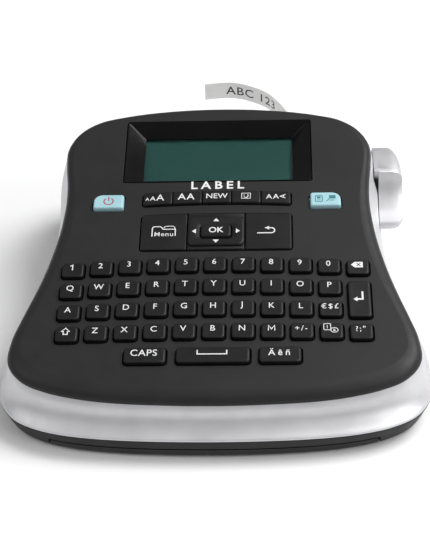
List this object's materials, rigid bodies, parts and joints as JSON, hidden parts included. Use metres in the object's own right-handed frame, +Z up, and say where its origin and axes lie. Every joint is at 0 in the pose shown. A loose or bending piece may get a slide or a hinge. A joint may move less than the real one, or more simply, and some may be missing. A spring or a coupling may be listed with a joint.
{
  "type": "label maker",
  "caption": "Desktop label maker: sloped hourglass body with a full keyboard, sunken display, silver side band, side cutter lever and a curl of label tape.",
  "frame": {"origin": "middle of the whole object's footprint box, on the surface that its rubber feet stand on", "axes": "+X to the right as the keys are read, +Y towards the back where the label comes out, +Z up; the keyboard panel rises 12 degrees towards +Y"},
  "size_m": [0.1588, 0.1852, 0.0539],
  "materials": {
    "cover_plastic": "fine spark-eroded texture",
    "key_plastic": "satin, lightly worn",
    "gloss_black": "polished",
    "silver_plastic": "satin metallic paint",
    "lcd_glass": "reflective display, switched off",
    "clear_window": "clear",
    "turquoise_plastic": "satin",
    "rubber_black": "matt",
    "silicone_grey": "matt",
    "board_green": "solder mask",
    "steel": "brushed",
    "brass": "turned",
    "label_paper": "laminated label tape",
    "nylon": "moulded",
    "cell_jacket": "plain dark sleeve",
    "cassette_plastic": "moulded"
  },
  "bodies": {
    "root": {"top_cover": "cover_plastic", "side_band": "silver_plastic", "base_shell": "cover_plastic", "display_bezel": "gloss_black", "display_window": "clear_window", "lcd_module": "lcd_glass", "power_jack": "key_plastic", "contact_sheet": "silicone_grey", "main_board": "board_green", "cutter_pin": "steel", "cutter_spring": "steel", "cassette_shell": "cassette_plastic", "label_tape": "label_paper", "print_head": "steel", "feed_motor": "steel", "print_chassis": "steel", "battery_1": "cell_jacket", "battery_2": "cell_jacket", "battery_3": "cell_jacket", "battery_4": "cell_jacket", "battery_5": "cell_jacket", "battery_6": "cell_jacket", "battery_contact_left": "steel", "battery_contact_right": "steel", "foot_front_left": "rubber_black", "foot_front_right": "rubber_black", "foot_back_left": "rubber_black", "foot_back_right": "rubber_black"},
    "key_row_digits": {"key_row_digits": "key_plastic"},
    "key_row_qwerty": {"key_row_qwerty": "key_plastic"},
    "key_row_asdf": {"key_row_asdf": "key_plastic"},
    "key_row_zxcv": {"key_row_zxcv": "key_plastic"},
    "backspace_key": {"backspace_key": "key_plastic"},
    "enter_key": {"enter_key": "key_plastic"},
    "shift_key": {"shift_key": "key_plastic"},
    "caps_key": {"caps_key": "key_plastic"},
    "space_key": {"space_key": "key_plastic"},
    "accents_key": {"accents_key": "key_plastic"},
    "text_size_key": {"text_size_key": "key_plastic"},
    "bold_key": {"bold_key": "key_plastic"},
    "new_label_key": {"new_label_key": "key_plastic"},
    "frame_style_key": {"frame_style_key": "key_plastic"},
    "text_style_key": {"text_style_key": "key_plastic"},
    "menu_key": {"menu_key": "key_plastic"},
    "back_key": {"back_key": "key_plastic"},
    "ok_key": {"ok_key": "key_plastic"},
    "power_key": {"power_key": "turquoise_plastic"},
    "print_key": {"print_key": "turquoise_plastic"},
    "pad_boot": {"pad_boot": "silicone_grey"},
    "direction_pad": {"direction_pad": "key_plastic"},
    "cutter_lever": {"cutter_lever": "silver_plastic"},
    "cutter_blade": {"cutter_blade": "steel"},
    "platen": {"platen_roller": "rubber_black", "platen_gear": "nylon"},
    "idler": {"idler_gear": "nylon"},
    "pinion": {"motor_pinion": "brass"},
    "spindle": {"ribbon_spindle": "nylon"},
    "roll": {"tape_roll": "label_paper"},
    "battery_door": {"battery_door": "cover_plastic"},
    "cassette_door": {"cassette_door": "cover_plastic"}
  },
  "joints": [
    {"name": "row_digits_press", "type": "slide", "parent": "root", "child": "key_row_digits", "axis": [0, 0.2079, -0.9781], "range_m": [0, 0.0012], "stiffness_N_per_m": 600, "springref_m": -0.0002},
    {"name": "row_qwerty_press", "type": "slide", "parent": "root", "child": "key_row_qwerty", "axis": [0, 0.2079, -0.9781], "range_m": [0, 0.0012], "stiffness_N_per_m": 600, "springref_m": -0.0002},
    {"name": "row_asdf_press", "type": "slide", "parent": "root", "child": "key_row_asdf", "axis": [0, 0.2079, -0.9781], "range_m": [0, 0.0012], "stiffness_N_per_m": 600, "springref_m": -0.0002},
    {"name": "row_zxcv_press", "type": "slide", "parent": "root", "child": "key_row_zxcv", "axis": [0, 0.2079, -0.9781], "range_m": [0, 0.0012], "stiffness_N_per_m": 600, "springref_m": -0.0002},
    {"name": "backspace_press", "type": "slide", "parent": "root", "child": "backspace_key", "axis": [0, 0.2079, -0.9781], "range_m": [0, 0.0012], "stiffness_N_per_m": 250, "springref_m": -0.0002},
    {"name": "enter_press", "type": "slide", "parent": "root", "child": "enter_key", "axis": [0, 0.2079, -0.9781], "range_m": [0, 0.0012], "stiffness_N_per_m": 250, "springref_m": -0.0002},
    {"name": "shift_press", "type": "slide", "parent": "root", "child": "shift_key", "axis": [0, 0.2079, -0.9781], "range_m": [0, 0.0012], "stiffness_N_per_m": 250, "springref_m": -0.0002},
    {"name": "caps_press", "type": "slide", "parent": "root", "child": "caps_key", "axis": [0, 0.2079, -0.9781], "range_m": [0, 0.0012], "stiffness_N_per_m": 250, "springref_m": -0.0002},
    {"name": "space_press", "type": "slide", "parent": "root", "child": "space_key", "axis": [0, 0.2079, -0.9781], "range_m": [0, 0.0012], "stiffness_N_per_m": 250, "springref_m": -0.0002},
    {"name": "accents_press", "type": "slide", "parent": "root", "child": "accents_key", "axis": [0, 0.2079, -0.9781], "range_m": [0, 0.0012], "stiffness_N_per_m": 250, "springref_m": -0.0002},
    {"name": "text_size_press", "type": "slide", "parent": "root", "child": "text_size_key", "axis": [0, 0.2079, -0.9781], "range_m": [0, 0.001], "stiffness_N_per_m": 250, "springref_m": -0.0002},
    {"name": "bold_press", "type": "slide", "parent": "root", "child": "bold_key", "axis": [0, 0.2079, -0.9781], "range_m": [0, 0.001], "stiffness_N_per_m": 250, "springref_m": -0.0002},
    {"name": "new_label_press", "type": "slide", "parent": "root", "child": "new_label_key", "axis": [0, 0.2079, -0.9781], "range_m": [0, 0.001], "stiffness_N_per_m": 250, "springref_m": -0.0002},
    {"name": "frame_style_press", "type": "slide", "parent": "root", "child": "frame_style_key", "axis": [0, 0.2079, -0.9781], "range_m": [0, 0.001], "stiffness_N_per_m": 250, "springref_m": -0.0002},
    {"name": "text_style_press", "type": "slide", "parent": "root", "child": "text_style_key", "axis": [0, 0.2079, -0.9781], "range_m": [0, 0.001], "stiffness_N_per_m": 250, "springref_m": -0.0002},
    {"name": "menu_press", "type": "slide", "parent": "root", "child": "menu_key", "axis": [0, 0.2079, -0.9781], "range_m": [0, 0.001], "stiffness_N_per_m": 250, "springref_m": -0.0002},
    {"name": "back_press", "type": "slide", "parent": "root", "child": "back_key", "axis": [0, 0.2079, -0.9781], "range_m": [0, 0.001], "stiffness_N_per_m": 250, "springref_m": -0.0002},
    {"name": "ok_press", "type": "slide", "parent": "root", "child": "ok_key", "axis": [0, 0.2079, -0.9781], "range_m": [0, 0.001], "stiffness_N_per_m": 250, "springref_m": -0.0002},
    {"name": "power_press", "type": "slide", "parent": "root", "child": "power_key", "axis": [0, 0.2079, -0.9781], "range_m": [0, 0.001], "stiffness_N_per_m": 250, "springref_m": -0.0002},
    {"name": "print_press", "type": "slide", "parent": "root", "child": "print_key", "axis": [0, 0.2079, -0.9781], "range_m": [0, 0.001], "stiffness_N_per_m": 250, "springref_m": -0.0002},
    {"name": "pad_left_right", "type": "hinge", "parent": "root", "child": "pad_boot", "pos_m": [0, -0.00848, 0.03832], "axis": [0, 0.9781, 0.2079], "range_deg": [-2.5, 2.5], "stiffness_Nm_per_rad": 0.02},
    {"name": "pad_up_down", "type": "hinge", "parent": "pad_boot", "child": "direction_pad", "pos_m": [0, -0.00848, 0.03832], "axis": [1, 0, 0], "range_deg": [-2.5, 2.5], "stiffness_Nm_per_rad": 0.02},
    {"name": "lever_press", "type": "hinge", "parent": "root", "child": "cutter_lever", "pos_m": [0, 0.04433, 0.027], "axis": [1, 0, 0], "range_deg": [0, 12], "stiffness_Nm_per_rad": 0.05, "springref_deg": -14.32, "deforming": ["cutter_spring"]},
    {"name": "blade_stroke", "type": "slide", "parent": "root", "child": "cutter_blade", "axis": [-1, 0, 0], "range_m": [0, 0.003]},
    {"name": "platen_turn", "type": "hinge", "parent": "root", "child": "platen", "pos_m": [0.0354, 0.0526, 0.03596], "axis": [0, -0.2079, 0.9781], "continuous": true},
    {"name": "idler_turn", "type": "hinge", "parent": "root", "child": "idler", "pos_m": [0.041, 0.04424, 0.02422], "axis": [0, -0.2079, 0.9781], "continuous": true},
    {"name": "pinion_turn", "type": "hinge", "parent": "root", "child": "pinion", "pos_m": [0.044, 0.03532, 0.02232], "axis": [0, -0.2079, 0.9781], "continuous": true},
    {"name": "spindle_turn", "type": "hinge", "parent": "root", "child": "spindle", "pos_m": [0.014, 0.04704, 0.03325], "axis": [0, -0.2079, 0.9781], "continuous": true},
    {"name": "roll_turn", "type": "hinge", "parent": "root", "child": "roll", "pos_m": [-0.008, 0.0389, 0.03305], "axis": [0, -0.2079, 0.9781], "continuous": true},
    {"name": "battery_door_slide", "type": "slide", "parent": "root", "child": "battery_door", "axis": [0, -1, 0], "range_m": [0, 0.045]},
    {"name": "cassette_door_hinge", "type": "hinge", "parent": "root", "child": "cassette_door", "pos_m": [0, 0.06073, 0.0027], "axis": [1, 0, 0], "range_deg": [0, 100]}
  ],
  "couplings": [
    {"joint": "blade_stroke", "follows": "lever_press", "m_per_rad": 0.0143},
    {"joint": "idler_turn", "follows": "platen_turn", "ratio": -0.66667},
    {"joint": "pinion_turn", "follows": "platen_turn", "ratio": 2},
    {"joint": "spindle_turn", "follows": "platen_turn", "ratio": -0.5},
    {"joint": "roll_turn", "follows": "platen_turn", "ratio": -0.2303}
  ]
}
